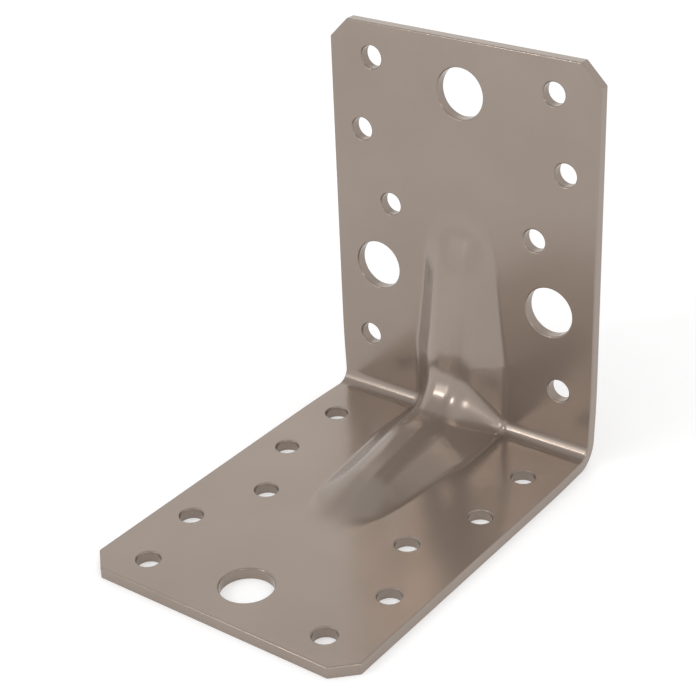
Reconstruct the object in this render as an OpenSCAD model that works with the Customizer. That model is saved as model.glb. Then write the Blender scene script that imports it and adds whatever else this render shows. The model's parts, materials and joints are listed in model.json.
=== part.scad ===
// Corner brace bracket: one strip of sheet, punched, folded to a right angle
// and stiffened by a rib that is pressed through the fold from behind.
// The wall leg stands along the back, the base leg runs forward from its foot.

/* [Sheet] */
// Width of the strip, across both legs
strip_w = 65; // [56:1:90]
// Height of the wall leg, from the underside of the base
wall_h = 90; // [80:1:120]
// Length of the base leg, from the back of the wall leg
base_l = 90; // [80:1:120]
// Thickness of the sheet
sheet_t = 2.5; // [1.5:0.25:3]
// Radius inside the fold
fold_r = 3; // [2:0.5:5]
// Size of the cut across each free corner
corner_cut = 4.5; // [2:0.5:6]

/* [Rib] */
// How far the rib stands off a leg where its crown leaves the fold
rib_h = 7; // [5:0.5:8]
// How far its crown still stands off where the end of the rib slopes away
rib_end_h = 2.5; // [2:0.1:3.5]
// Width of the level strip along the crown of the rib
crown_w = 2.4; // [1.6:0.2:4]
// Width across the foot of the rib at the fold
foot_w = 24.6; // [22:0.2:26]
// Width across the foot of the rib at its two ends
end_w = 18.8; // [17:0.2:21]
// How far the rib reaches along each leg, from the heel
rib_reach = 55.5; // [50:0.5:60]
// Length of the slope at each end of the rib
end_run = 10; // [8:0.5:12]
// Radius of the crown where it turns from one leg to the other
crown_r = 9; // [6:0.5:10]

/* [Nail holes] */
// Diameter of the nail and screw holes
nail_d = 5; // [4:0.25:6]
// First pair: distance of its centres from the free edge
pair_a_edge = 7.5; // [6:0.5:9]
// First pair: distance between the two centres
pair_a_gap = 44; // [42:0.5:46]
// Second pair: distance of its centres from the free edge
pair_b_edge = 24; // [22:0.5:26]
// Second pair: distance between the two centres
pair_b_gap = 50; // [46:0.5:50]
// Third pair: distance of its centres from the free edge
pair_c_edge = 40; // [37:0.5:42]
// Third pair: distance between the two centres
pair_c_gap = 36; // [34:0.5:40]
// Fourth pair, base leg only: distance of its centres from the free edge
pair_d_edge = 56; // [54:0.5:60]
// Fourth pair, base leg only: distance between the two centres
pair_d_gap = 50; // [46:0.5:50]
// Pair next to the fold: distance of its centres from the free edge
pair_e_edge = 73.5; // [71:0.5:76]
// Pair next to the fold: distance between the two centres
pair_e_gap = 49; // [46:0.5:50]

/* [Bolt holes] */
// Diameter of the bolt holes
bolt_d = 11; // [9:0.5:12]
// Single hole at the end of each leg: distance of its centre from the free edge
bolt_edge = 11.5; // [10:0.5:14]
// Pair on the wall leg: distance of its centres from the free edge
bolt_pair_edge = 55.5; // [53:0.5:58]
// Pair on the wall leg: distance between the two centres
bolt_pair_gap = 43.5; // [42:0.5:46]

/* [Hidden] */

metal = [0.59, 0.54, 0.49];
hole_fn = 64;
through = 1;

// The fold's outer radius, where both flat legs begin
heel_r = fold_r + sheet_t;

// The loft starts this far behind the face that it leaves, and this far outside the foot
tuck = 0.04;
margin = 1;

// Rows of the loft along each leg and round the fold, lines up each part of a flank, and
// the plain points that close each row, one at either side
leg_count = 20;
fold_count = 12;
foot_count = 3;
slope_count = 2;
crown_count = 6;
plain_count = 2;

// Shares of a flank that its foot and its shoulder take, and of the crown's fall where it bends
foot_ease = 0.14;
crown_ease = 0.45;
fall_ease = 0.1;
end_ease = 0.5;

// A rise from 0 to 1 that is straight, but eases in over one share and out over another
function steepest(start, end) = 1 / (1 - (start + end) / 2);
function eased(s, start, end) =
    let (rate = steepest(start, end))
    s <= 0 ? 0 :
    s >= 1 ? 1 :
    s < start ? rate * s * s / (2 * start) :
    s < 1 - end ? rate * (s - start / 2) :
    1 - rate * (1 - s) * (1 - s) / (2 * end);

// Radius and centre of the fold's turn under a lift, measured from the heel's two faces
function turn_r(d) = fold_r + (crown_r - fold_r) * max(d, 0) / rib_h;
function turn_c(d) = sheet_t + d + turn_r(d);
crown_start = turn_c(rib_h);
slope_start = rib_reach - end_run;

// Height of the crown at a distance u from the heel: it falls slowly, then slopes away
function crown_h(u) =
    (rib_h - (rib_h - rib_end_h) * eased((u - crown_start) / (slope_start - crown_start), fall_ease, fall_ease))
    * (1 - eased((u - slope_start) / end_run, end_ease, end_ease));

// Half width of the rib's foot there, which flares into the fold
function run_left(u) = min(max((rib_reach - u) / (rib_reach - crown_start), 0), 1);
function foot_at(u) = (end_w + (foot_w - end_w) * run_left(u) * run_left(u)) / 2;

// The back of the sheet follows the front at one thickness, so its flanks and ends lie further in
function flank_w(u) = foot_at(u) - crown_w / 2;
function flank_angle(u) = atan(steepest(foot_ease, crown_ease) * crown_h(u) / flank_w(u));
function slope_share(s) = min(s / foot_ease, 1, (1 - s) / crown_ease);
function flank_inset(s, u, back) = back ? sheet_t * tan(flank_angle(u) / 2) * slope_share(s) : 0;
end_angle = atan(steepest(end_ease, end_ease) * rib_end_h / end_run);
function end_inset(back) = back ? sheet_t * tan(end_angle / 2) : 0;

// Lines of the loft, each a side and a share of the flank, from 0 at the foot to 1 at the crown
flank_lines = concat(
    [for (i = [0:foot_count]) foot_ease * i / foot_count],
    [for (i = [1:slope_count]) foot_ease + (1 - foot_ease - crown_ease) * i / slope_count],
    [for (i = [1:crown_count]) 1 - crown_ease + crown_ease * i / crown_count]
);
top_line = len(flank_lines) - 1;
rib_lines = concat(
    [for (i = [0:top_line]) [-1, flank_lines[i]]],
    [[0, 1]],
    [for (i = [top_line:-1:0]) [1, flank_lines[i]]]
);
line_count = len(rib_lines);

// Place across of a line at u, and how far the pressed surface stands off its own face there
function line_x(line, u, back) =
    line[0] * (foot_at(u) - line[1] * flank_w(u) - flank_inset(line[1], u, back));
function lift(line, u, back) =
    crown_h(u + end_inset(back)) * eased(line[1], foot_ease, crown_ease) - tuck;

// Rows run down the wall leg, round the fold and along the base leg. Each point is measured
// across, back from the centre of the fold, and up from it.
row_count = 2 * leg_count + fold_count;
function leg_point(x, u, off, on_wall) =
    on_wall ? [x, heel_r - off, u - heel_r] : [x, heel_r - u, off - heel_r];
function fold_point(x, c, r, angle) = [x, heel_r - c + r * cos(angle), c - heel_r - r * sin(angle)];
function leg_share(row) =
    row < leg_count ? 1 - row / leg_count : (row - leg_count - fold_count) / leg_count;
function on_fold(row) = row >= leg_count && row <= leg_count + fold_count;

function rib_point(line, row, back) =
    let (d = lift(line, crown_start, back), c = turn_c(d), u = c + (rib_reach - c) * leg_share(row))
    on_fold(row) ?
        fold_point(line_x(line, crown_start, back), c, turn_r(d) + (back ? sheet_t : 0),
            90 * (row - leg_count) / fold_count) :
        leg_point(line_x(line, u, back), u, lift(line, u, back) + (back ? 0 : sheet_t), row < leg_count);

// A point beside the rib, at a depth behind the face
function plain_point(side, row, back, depth) =
    let (x = side * (foot_w / 2 + margin), c = turn_c(-depth), u = c + (rib_reach - c) * leg_share(row))
    on_fold(row) ?
        fold_point(x, c, fold_r + (back ? sheet_t : 0), 90 * (row - leg_count) / fold_count) :
        leg_point(x, u, (back ? 0 : sheet_t) - depth, row < leg_count);

// Outline of a flat leg from the end of the fold to its free edge, lying along +Y
module leg_outline(length) {
    half = strip_w / 2;
    polygon([
        [-half, heel_r],
        [half, heel_r],
        [half, length - corner_cut],
        [half - corner_cut, length],
        [-half + corner_cut, length],
        [-half, length - corner_cut],
    ]);
}

// A hole punched through a leg, its centre at a distance from the free edge
module punch(length, x, edge, d) {
    translate([x, length - edge, -through])
        cylinder(h = sheet_t + 2 * through, d = d, $fn = hole_fn);
}

// Two like holes side by side
module punch_pair(length, gap, edge, d) {
    for (side = [-1, 1])
        punch(length, side * gap / 2, edge, d);
}

// The holes that both legs have
module common_holes(length) {
    punch_pair(length, pair_a_gap, pair_a_edge, nail_d);
    punch_pair(length, pair_b_gap, pair_b_edge, nail_d);
    punch_pair(length, pair_c_gap, pair_c_edge, nail_d);
    punch_pair(length, pair_e_gap, pair_e_edge, nail_d);
    punch(length, 0, bolt_edge, bolt_d);
}

// The base leg, lying along +Y with its underside at the bottom
module base_leg() {
    difference() {
        linear_extrude(sheet_t)
            leg_outline(base_l);
        common_holes(base_l);
        punch_pair(base_l, pair_d_gap, pair_d_edge, nail_d);
    }
}

// The wall leg, lying as the base leg does before it is stood up
module wall_leg() {
    difference() {
        linear_extrude(sheet_t)
            leg_outline(wall_h);
        common_holes(wall_h);
        punch_pair(wall_h, bolt_pair_gap, bolt_pair_edge, bolt_d);
    }
}

// The quarter turn that joins the legs
module fold() {
    translate([-strip_w / 2, base_l / 2 - heel_r, heel_r])
        rotate([0, 90, 0])
            rotate_extrude(angle = 90, $fn = 4 * hole_fn)
                translate([fold_r, 0])
                    square([sheet_t, strip_w]);
}

// The folded strip before the rib is pressed
module folded_strip() {
    translate([0, base_l / 2, 0])
        rotate([0, 0, 180])
            base_leg();
    translate([0, base_l / 2, 0])
        rotate([90, 0, 0])
            wall_leg();
    fold();
}

// A solid over the fold between the pressed surface of one face and a plain floor behind it
module pressed_form(back, depth) {
    stride = line_count + plain_count;
    floor_start = stride * (row_count + 1);
    points = concat(
        [for (row = [0:row_count]) each concat(
            [plain_point(-1, row, back, tuck)],
            [for (line = rib_lines) rib_point(line, row, back)],
            [plain_point(1, row, back, tuck)]
        )],
        [for (row = [0:row_count]) for (side = [-1, 1]) plain_point(side, row, back, depth)]
    );
    surface = [for (row = [0:row_count - 1]) for (i = [0:stride - 2])
        let (a = row * stride + i, b = a + 1, c = a + stride, d = c + 1)
        each (i < stride / 2 - 1 ? [[a, b, d], [a, d, c]] : [[a, b, c], [b, d, c]])];
    floor_faces = [for (row = [0:row_count - 1])
        let (a = floor_start + plain_count * row, b = a + plain_count)
        [a, b, b + 1, a + 1]];
    sides = [for (row = [0:row_count - 1])
        let (a = row * stride, b = a + stride - 1, f = floor_start + plain_count * row)
        each [[a, a + stride, f + plain_count, f], [b, f + 1, f + 1 + plain_count, b + stride]]];
    top_end = [floor_start, floor_start + 1, each [for (i = [stride - 1:-1:0]) i]];
    last = row_count * stride;
    last_floor = floor_start + plain_count * row_count;
    foot_end = [last_floor + 1, last_floor, each [for (i = [0:stride - 1]) last + i]];
    translate([0, base_l / 2 - heel_r, heel_r])
        polyhedron(points, concat(surface, floor_faces, sides, [top_end, foot_end]), convexity = 6);
}

// The sheet is pressed out in front, and as far from behind, so the rib is a hollow channel
module corner_bracket() {
    color(metal)
        difference() {
            union() {
                folded_strip();
                pressed_form(false, sheet_t / 2);
            }
            pressed_form(true, through);
        }
}

corner_bracket();
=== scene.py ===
import json
import math

import bpy
import numpy as np
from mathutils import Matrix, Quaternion, Vector
from mathutils.geometry import delaunay_2d_cdt


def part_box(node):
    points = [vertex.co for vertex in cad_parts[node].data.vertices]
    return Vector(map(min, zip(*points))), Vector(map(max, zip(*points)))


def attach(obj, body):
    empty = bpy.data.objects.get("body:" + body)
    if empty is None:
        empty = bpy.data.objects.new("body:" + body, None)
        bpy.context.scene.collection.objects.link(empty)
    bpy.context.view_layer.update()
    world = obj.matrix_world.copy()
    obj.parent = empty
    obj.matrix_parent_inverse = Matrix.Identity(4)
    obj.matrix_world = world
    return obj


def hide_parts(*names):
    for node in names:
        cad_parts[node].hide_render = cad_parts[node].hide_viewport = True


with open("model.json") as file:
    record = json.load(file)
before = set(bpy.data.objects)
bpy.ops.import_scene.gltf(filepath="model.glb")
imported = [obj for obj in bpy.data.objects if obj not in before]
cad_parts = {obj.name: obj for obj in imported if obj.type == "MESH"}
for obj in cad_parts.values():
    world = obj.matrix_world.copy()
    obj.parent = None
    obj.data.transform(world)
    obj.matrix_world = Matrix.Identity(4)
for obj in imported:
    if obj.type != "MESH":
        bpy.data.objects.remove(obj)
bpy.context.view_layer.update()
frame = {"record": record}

# The pressed bracket
# It is one strip of 2.5 mm sheet steel, punched flat and then folded to a right angle, while a
# rib is pressed through the fold from behind. A warm grey-brown coat with a satin metal gloss
# goes over the whole pressing last, cut edges too.
low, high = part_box("corner_bracket")
strip_w = high.x - low.x
wall_h = high.z - low.z
base_l = high.y - low.y
sheet_t = 0.0025
fold_r = 0.003
heel_r = fold_r + sheet_t

# The rib stands highest at the fold, and falls and narrows along both legs until it runs out
rib_h = 0.007
tip_h = 0.0012
crown_w = 0.0024
foot_w = 0.0246
end_w = 0.0188
rib_reach = 0.0555
end_run = 0.018
end_taper = 0.4
crown_r = 0.009
foot_ease = 0.14
crown_ease = 0.45
fall_ease = 0.1
tip_ease = 0.02
end_ease = 0.5
crown_start = sheet_t + rib_h + crown_r
slope_start = rib_reach - end_run


def eased(share, start, end):
    """A rise from 0 to 1 that is straight, but eases in over one share and out over another."""
    share = np.clip(share, 0, 1)
    rate = 1 / (1 - (start + end) / 2)
    first = rate * share**2 / (2 * start)
    middle = rate * (share - start / 2)
    last = 1 - rate * (1 - share) ** 2 / (2 * end)
    return np.where(share < start, first, np.where(share < 1 - end, middle, last))


def crown_height(along):
    """How far the crown stands off a leg at a distance from the heel."""
    fall = eased((along - crown_start) / (rib_reach - crown_start), fall_ease, tip_ease)
    end = eased((along - slope_start) / end_run, end_ease, end_ease)
    return (rib_h - (rib_h - tip_h) * fall) * (1 - end)


def rib_lift(x, along):
    """How far the press pushed the sheet out, at x across and a distance from the heel."""
    left = np.clip((rib_reach - along) / (rib_reach - crown_start), 0, 1)
    sloping = np.clip((along - slope_start) / end_run, 0, 1)
    foot = (end_w + (foot_w - end_w) * left**2) / 2 * (1 - end_taper * sloping**2)
    up_flank = (foot - np.abs(x)) / (foot - crown_w / 2)
    return crown_height(along) * eased(up_flank, foot_ease, crown_ease)


# Places on the sheet are x across and s along it, from 0 in the middle of the fold,
# with the wall leg on the minus side and the base leg on the plus side
fold_half = (fold_r + sheet_t / 2) * math.pi / 4
rib_run = rib_reach - heel_r

# Folding draws the two long edges in a little
neck_depth = 0.0004
neck_length = 0.009


def front_face(x, s):
    """The place in space of a point on the front of the folded sheet."""
    past = np.maximum(np.abs(s) - fold_half, 0)
    run = np.minimum(past / rib_run, 1)
    lift_fold = rib_lift(x, np.full_like(run, crown_start))
    turn = fold_r + (crown_r - fold_r) * lift_fold / rib_h
    centre = sheet_t + lift_fold + turn
    angle = math.pi / 4 * (1 + np.clip(s / fold_half, -1, 1))
    along = centre + (rib_reach - centre) * run + np.maximum(past - rib_run, 0)
    off = rib_lift(x, along) + sheet_t
    on_fold = np.abs(s) <= fold_half
    forward = np.where(on_fold, centre - turn * np.cos(angle), np.where(s < 0, off, along))
    up = np.where(on_fold, centre - turn * np.sin(angle), np.where(s < 0, along, off))
    neck = 1 - neck_depth / (strip_w / 2) * np.exp(-((s / neck_length) ** 2))
    return np.stack([x * neck, high.y - forward, low.z + up], axis=-1)


def front_normal(x, s):
    """The outward normal of the front, from its slope both ways."""
    step = 2e-5
    across = front_face(x + step, s) - front_face(x - step, s)
    down = front_face(x, s + step) - front_face(x, s - step)
    normal = np.cross(down, across)
    return normal / np.linalg.norm(normal, axis=-1, keepdims=True)


# The strip has its four corners cut off. The long sides have close points, because the fold
# bends them.
half_w = strip_w / 2
wall_end = -(fold_half + wall_h - heel_r)
base_end = fold_half + base_l - heel_r
corner_cut = 0.0045
corner_round = 0.0006
corner_steps = 4
side_step = 0.0005
end_step = 0.004
same_x = 1e-6
corners = [
    Vector((-half_w, wall_end + corner_cut)),
    Vector((-half_w + corner_cut, wall_end)),
    Vector((half_w - corner_cut, wall_end)),
    Vector((half_w, wall_end + corner_cut)),
    Vector((half_w, base_end - corner_cut)),
    Vector((half_w - corner_cut, base_end)),
    Vector((-half_w + corner_cut, base_end)),
    Vector((-half_w, base_end - corner_cut)),
]


def corner_arc(before, corner, after):
    """The points of a rounded corner, each with the direction out of the strip there."""
    come = (corner - before).normalized()
    go = (after - corner).normalized()
    bend = come.angle(go)
    inward = Vector((-come.y, come.x))
    centre = corner - come * corner_round * math.tan(bend / 2) + inward * corner_round
    turns = [bend * k / corner_steps for k in range(corner_steps + 1)]
    outs = [-inward * math.cos(turn) + come * math.sin(turn) for turn in turns]
    return [(centre + out * corner_round, out) for out in outs]


def side_points(start, end, out):
    """The points along a side, between two rounded corners."""
    spacing = side_step if abs(start.x - end.x) < same_x else end_step
    count = max(int((end - start).length / spacing), 1)
    return [(start + (end - start) * k / count, out) for k in range(1, count)]


arcs = [corner_arc(*three) for three in zip(corners[-1:] + corners[:-1], corners, corners[1:] + corners[:1])]
outline = []
for arc, next_arc in zip(arcs, arcs[1:] + arcs[:1]):
    outline += arc + side_points(arc[-1][0], *next_arc[0])
loops = [(np.array([point[:] for point, out in outline]), np.array([out[:] for point, out in outline]))]

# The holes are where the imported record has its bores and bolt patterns
hole_steps = 64
hole_turns = -np.arange(hole_steps) * 2 * math.pi / hole_steps
hole_ring = np.stack([np.cos(hole_turns), np.sin(hole_turns)], axis=-1)
for mount in frame["record"]["mounts"]:
    radius_mm = mount["dims"].get("hole_r_mm", mount["dims"].get("r_mm"))
    if radius_mm is None:
        continue
    radius = radius_mm / 1000
    x, y, z = mount["pos_m"]
    on_wall = abs(mount["axis"][1]) > 0.5
    s = -(fold_half + z - low.z - heel_r) if on_wall else fold_half + high.y - y - heel_r
    gap = mount["dims"].get("spacing_x_mm", 0) / 1000
    for side in (-1, 1) if gap else (0,):
        centre = np.array([x + side * gap / 2, s])
        loops.append((centre + hole_ring * radius, -hole_ring))

# Punching rolls the cut edge over in front, where the punch went in, and less behind. A ring
# round each cut is an inset from it, a depth under the front and how far its normal turns.
front_roll = 0.00035
back_roll = 0.00018
roll_steps = 4
quarter = np.linspace(0, math.pi / 2, roll_steps + 1)
rings = [(front_roll * (1 - math.sin(a)), front_roll * (1 - math.cos(a)), a, False) for a in quarter]
for a in quarter[::-1]:
    rings.append((back_roll * (1 - math.sin(a)), sheet_t - back_roll * (1 - math.cos(a)), a, True))
rims = [points - outward * front_roll for points, outward in loops]
rim_starts = [sum(len(rim) for rim in rims[:k]) for k in range(len(rims))]
rim_count = sum(len(rim) for rim in rims)

# Small triangles cover the sheet where it is bent, and large ones where it is flat
rib_columns = 71
rib_rows = 231
fold_rows = 25
fold_step = 0.0015
grid_margin = 0.001
edge_margin = 0.0008


def grid(across, along):
    """Every place that pairs one across the sheet with one along it."""
    return np.stack(np.meshgrid(across, along), axis=-1).reshape(-1, 2)


rib_half_w = foot_w / 2 + grid_margin
rib_half_s = fold_half + rib_run + grid_margin
rib_grid = grid(
    np.linspace(-rib_half_w, rib_half_w, rib_columns),
    np.linspace(-rib_half_s, rib_half_s, rib_rows),
)
fold_x = np.arange(rib_half_w + grid_margin, half_w - edge_margin, fold_step)
fold_half_s = fold_half + grid_margin / 2
fold_grid = grid(
    np.concatenate([-fold_x[::-1], fold_x]),
    np.linspace(-fold_half_s, fold_half_s, fold_rows),
)
inner = np.concatenate([rib_grid, fold_grid])
flat = np.concatenate([*rims, inner])

# Triangles fill the outline. Each place is numbered by the hole whose rim it is on, or 0, and a
# triangle with all three corners on the rim of one hole lies in that hole and is left out.
inside_only = 1
merge_gap = 1e-9
hole_numbers = np.repeat(np.arange(len(rims) + 1), [len(rim) for rim in rims] + [len(inner)])
hole_numbers[rim_count:] = 0
rim_edges = []
for start, rim in zip(rim_starts, rims):
    rim_edges += [(start + k, start + (k + 1) % len(rim)) for k in range(len(rim))]
cut = delaunay_2d_cdt([Vector(p) for p in flat], rim_edges, [], inside_only, merge_gap)
origins = [min(o) for o in cut[3]]
triangles = []
for cut_tri in cut[2]:
    tri = [origins[k] for k in cut_tri]
    numbers = hole_numbers[tri]
    if numbers.max() == 0 or numbers.min() != numbers.max():
        triangles.append(tri)

# The mesh has the inner places in front, then the same behind, then the rings round the cuts
# from front to back. The back lies one sheet thickness behind the front everywhere.
inner_front = front_face(inner[:, 0], inner[:, 1])
inner_normal = front_normal(inner[:, 0], inner[:, 1])
places = [inner_front, inner_front - inner_normal * sheet_t]
normals = [inner_normal, -inner_normal]
inside_step = 1e-5
for inset, depth, turn, back in rings:
    for points, outward in loops:
        at = points - outward * inset
        inside = at - outward * inside_step
        front_at = front_face(at[:, 0], at[:, 1])
        up_at = front_normal(at[:, 0], at[:, 1])
        away = front_at - front_face(inside[:, 0], inside[:, 1])
        away /= np.linalg.norm(away, axis=-1, keepdims=True)
        places.append(front_at - up_at * depth)
        normals.append(up_at * (-math.cos(turn) if back else math.cos(turn)) + away * math.sin(turn))
places = np.concatenate(places)
normals = np.concatenate(normals)
inner_count = len(inner)
ring_start = 2 * inner_count
last_ring = ring_start + (len(rings) - 1) * rim_count


def corner_of(flat_index, back):
    """The mesh vertex for a corner of the cut face, on the front or on the back."""
    if flat_index < rim_count:
        return (last_ring if back else ring_start) + flat_index
    return flat_index - rim_count + (inner_count if back else 0)


faces = []
for tri in triangles:
    a, b, c = (flat[k] for k in tri)
    if (b[0] - a[0]) * (c[1] - a[1]) - (b[1] - a[1]) * (c[0] - a[0]) > 0:
        tri = tri[::-1]
    faces.append([corner_of(k, False) for k in tri])
    faces.append([corner_of(k, True) for k in tri[::-1]])
for start, rim in zip(rim_starts, rims):
    for ring in range(ring_start, last_ring, rim_count):
        above = ring + start
        below = above + rim_count
        for k in range(len(rim)):
            n = (k + 1) % len(rim)
            faces.append([above + k, above + n, below + n, below + k])


def put_in_scene(name, data):
    """A new object in the scene."""
    thing = bpy.data.objects.new(name, data)
    bpy.context.scene.collection.objects.link(thing)
    return thing


mesh = bpy.data.meshes.new("pressed_bracket")
mesh.from_pydata(places.tolist(), [], faces)
mesh.validate()
mesh.shade_smooth()
mesh.normals_split_custom_set_from_vertices(normals.tolist())
bracket = put_in_scene("pressed_bracket", mesh)

# The coat is thin enough to follow the sheet. Its tone drifts a little over each leg, its gloss
# has softer patches, and its skin is very slightly uneven.
metal_share = 0.62
dark_taupe = (0.300, 0.246, 0.208, 1)
pale_taupe = (0.325, 0.268, 0.227, 1)
least_roughness = 0.19
most_roughness = 0.25


def add_node(tree, kind, sockets):
    """A new node in a material or a world, with values set on its sockets."""
    node = tree.nodes.new(kind)
    for name, value in sockets.items():
        node.inputs[name].default_value = value
    return node


def patches(tree, scale, detail):
    """A soft uneven pattern that is fixed to the object, from 0 to 1."""
    place = tree.nodes.new("ShaderNodeTexCoord")
    noise = add_node(tree, "ShaderNodeTexNoise", {"Scale": scale, "Detail": detail})
    tree.links.new(place.outputs["Object"], noise.inputs["Vector"])
    return noise.outputs["Fac"]


coat = bpy.data.materials.new("taupe_coat")
coat.use_nodes = True
tree = coat.node_tree
gloss = tree.nodes["Principled BSDF"]
gloss.inputs["Metallic"].default_value = metal_share

tone = tree.nodes.new("ShaderNodeValToRGB")
for stop, position, colour in zip(tone.color_ramp.elements, (0.3, 0.7), (dark_taupe, pale_taupe)):
    stop.position = position
    stop.color = colour
tree.links.new(patches(tree, scale=45, detail=4), tone.inputs["Fac"])
tree.links.new(tone.outputs["Color"], gloss.inputs["Base Color"])

softness = add_node(tree, "ShaderNodeMapRange", {"To Min": least_roughness, "To Max": most_roughness})
tree.links.new(patches(tree, scale=160, detail=5), softness.inputs["Value"])
tree.links.new(softness.outputs["Result"], gloss.inputs["Roughness"])

skin = add_node(tree, "ShaderNodeBump", {"Strength": 0.05, "Distance": 0.0002})
tree.links.new(patches(tree, scale=900, detail=2), skin.inputs["Height"])
tree.links.new(skin.outputs["Normal"], gloss.inputs["Normal"])

mesh.materials.append(coat)
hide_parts("corner_bracket")
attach(bracket, "root")

# The floor
# A plain white sheet lies under the bracket. It takes the soft shadow and runs out to white,
# because it glows a little for the camera and in reflections.
floor_half = 3
floor_glow = 0.36


def either(tree, first, second):
    """On where one of two switches is on."""
    larger = tree.nodes.new("ShaderNodeMath")
    larger.operation = "MAXIMUM"
    tree.links.new(first, larger.inputs[0])
    tree.links.new(second, larger.inputs[1])
    return larger.outputs["Value"]


def switched(tree, switch, off, on):
    """One shader where a switch is off, and another where it is on."""
    mix = tree.nodes.new("ShaderNodeMixShader")
    tree.links.new(switch, mix.inputs["Fac"])
    tree.links.new(off, mix.inputs[1])
    tree.links.new(on, mix.inputs[2])
    return mix.outputs["Shader"]


floor_mesh = bpy.data.meshes.new("floor")
floor_corners = [(x * floor_half, y * floor_half, low.z) for x, y in ((-1, -1), (1, -1), (1, 1), (-1, 1))]
floor_mesh.from_pydata(floor_corners, [], [(0, 1, 2, 3)])
floor = put_in_scene("floor", floor_mesh)
white = bpy.data.materials.new("white_floor")
white.use_nodes = True
tree = white.node_tree
matt = tree.nodes["Principled BSDF"]
matt.inputs["Base Color"].default_value = (0.75, 0.75, 0.75, 1)
matt.inputs["Roughness"].default_value = 0.9
matt.inputs["Specular IOR Level"].default_value = 0
glow = add_node(tree, "ShaderNodeEmission", {"Color": (1, 1, 1, 1), "Strength": floor_glow})
glowing = tree.nodes.new("ShaderNodeAddShader")
tree.links.new(matt.outputs["BSDF"], glowing.inputs[0])
tree.links.new(glow.outputs["Emission"], glowing.inputs[1])
ray = tree.nodes.new("ShaderNodeLightPath")
seen = either(tree, ray.outputs["Is Camera Ray"], ray.outputs["Is Glossy Ray"])
surface = switched(tree, seen, matt.outputs["BSDF"], glowing.outputs["Shader"])
tree.links.new(surface, tree.nodes["Material Output"].inputs["Surface"])
floor_mesh.materials.append(white)

# The studio
# White walls stand all round under a dimmer ceiling, as the coat reflects them. A large soft box
# and two small lamps in front, and one low at the right, give the bright spots along the fold and
# where the rib crosses it. A weak soft box lights the back.
world = bpy.data.worlds.new("white_room")
bpy.context.scene.world = world
world.use_nodes = True
tree = world.node_tree
room = tree.nodes["Background"]
room.inputs["Color"].default_value = (1, 1, 1, 1)
room.inputs["Strength"].default_value = 0.82
backdrop = add_node(tree, "ShaderNodeBackground", {"Color": (1, 1, 1, 1)})
upward = tree.nodes.new("ShaderNodeTexCoord")
height = tree.nodes.new("ShaderNodeSeparateXYZ")
dimming = {"From Min": 0.5, "From Max": 0.95, "To Min": 1, "To Max": 0.6}
ceiling = add_node(tree, "ShaderNodeMapRange", dimming)
ceiling.interpolation_type = "SMOOTHSTEP"
tree.links.new(upward.outputs["Generated"], height.inputs["Vector"])
tree.links.new(height.outputs["Z"], ceiling.inputs["Value"])
tree.links.new(ceiling.outputs["Result"], backdrop.inputs["Strength"])
ray = tree.nodes.new("ShaderNodeLightPath")
seen = either(tree, ray.outputs["Is Camera Ray"], ray.outputs["Is Glossy Ray"])
seen = either(tree, seen, ray.outputs["Is Transmission Ray"])
surround = switched(tree, seen, room.outputs["Background"], backdrop.outputs["Background"])
tree.links.new(surround, tree.nodes["World Output"].inputs["Surface"])


def soft_box(name, toward, distance, size, power):
    """A round lamp at a distance from the bracket's fold, facing it."""
    lamp = bpy.data.lights.new(name, "AREA")
    lamp.shape = "DISK"
    lamp.size = size
    lamp.energy = power
    box = put_in_scene(name, lamp)
    fold = Vector((0, high.y, low.z))
    box.location = fold + Vector(toward).normalized() * distance
    box.rotation_mode = "QUATERNION"
    box.rotation_quaternion = (fold - box.location).to_track_quat("-Z", "Y")


soft_box("front_box", toward=(-0.33, -0.79, 0.53), distance=0.9, size=0.45, power=0.8)
soft_box("left_lamp", toward=(-0.45, -0.63, 0.635), distance=0.8, size=0.06, power=0.3)
soft_box("right_lamp", toward=(0.62, -0.47, 0.60), distance=0.8, size=0.1, power=0.5)
soft_box("side_lamp", toward=(0.97, -0.12, 0.16), distance=0.8, size=0.1, power=0.25)
soft_box("back_box", toward=(-0.55, 0.68, 0.46), distance=1.0, size=0.6, power=0.2)

# The camera
# It looks down into the corner of the bracket from the front right, a little tilted. Its place
# and its lens come from a fit to the outline and the holes.
view_azimuth = math.radians(37.6)
view_elevation = math.radians(28.4)
view_roll = math.radians(-2.5)
view_distance = 0.342
aim = Vector((-0.0002, 0.0021, 0.0383))
lens = bpy.data.cameras.new("camera")
lens.sensor_width = 36
lens.lens = 89.4
camera = put_in_scene("camera", lens)
sideways = math.sin(view_azimuth) * math.cos(view_elevation)
frontward = -math.cos(view_azimuth) * math.cos(view_elevation)
back = Vector((sideways, frontward, math.sin(view_elevation)))
camera.location = aim + back * view_distance
camera.rotation_mode = "QUATERNION"
camera.rotation_quaternion = (-back).to_track_quat("-Z", "Y") @ Quaternion((0, 0, 1), view_roll)
bpy.context.scene.camera = camera
bpy.context.scene.view_settings.view_transform = "Standard"
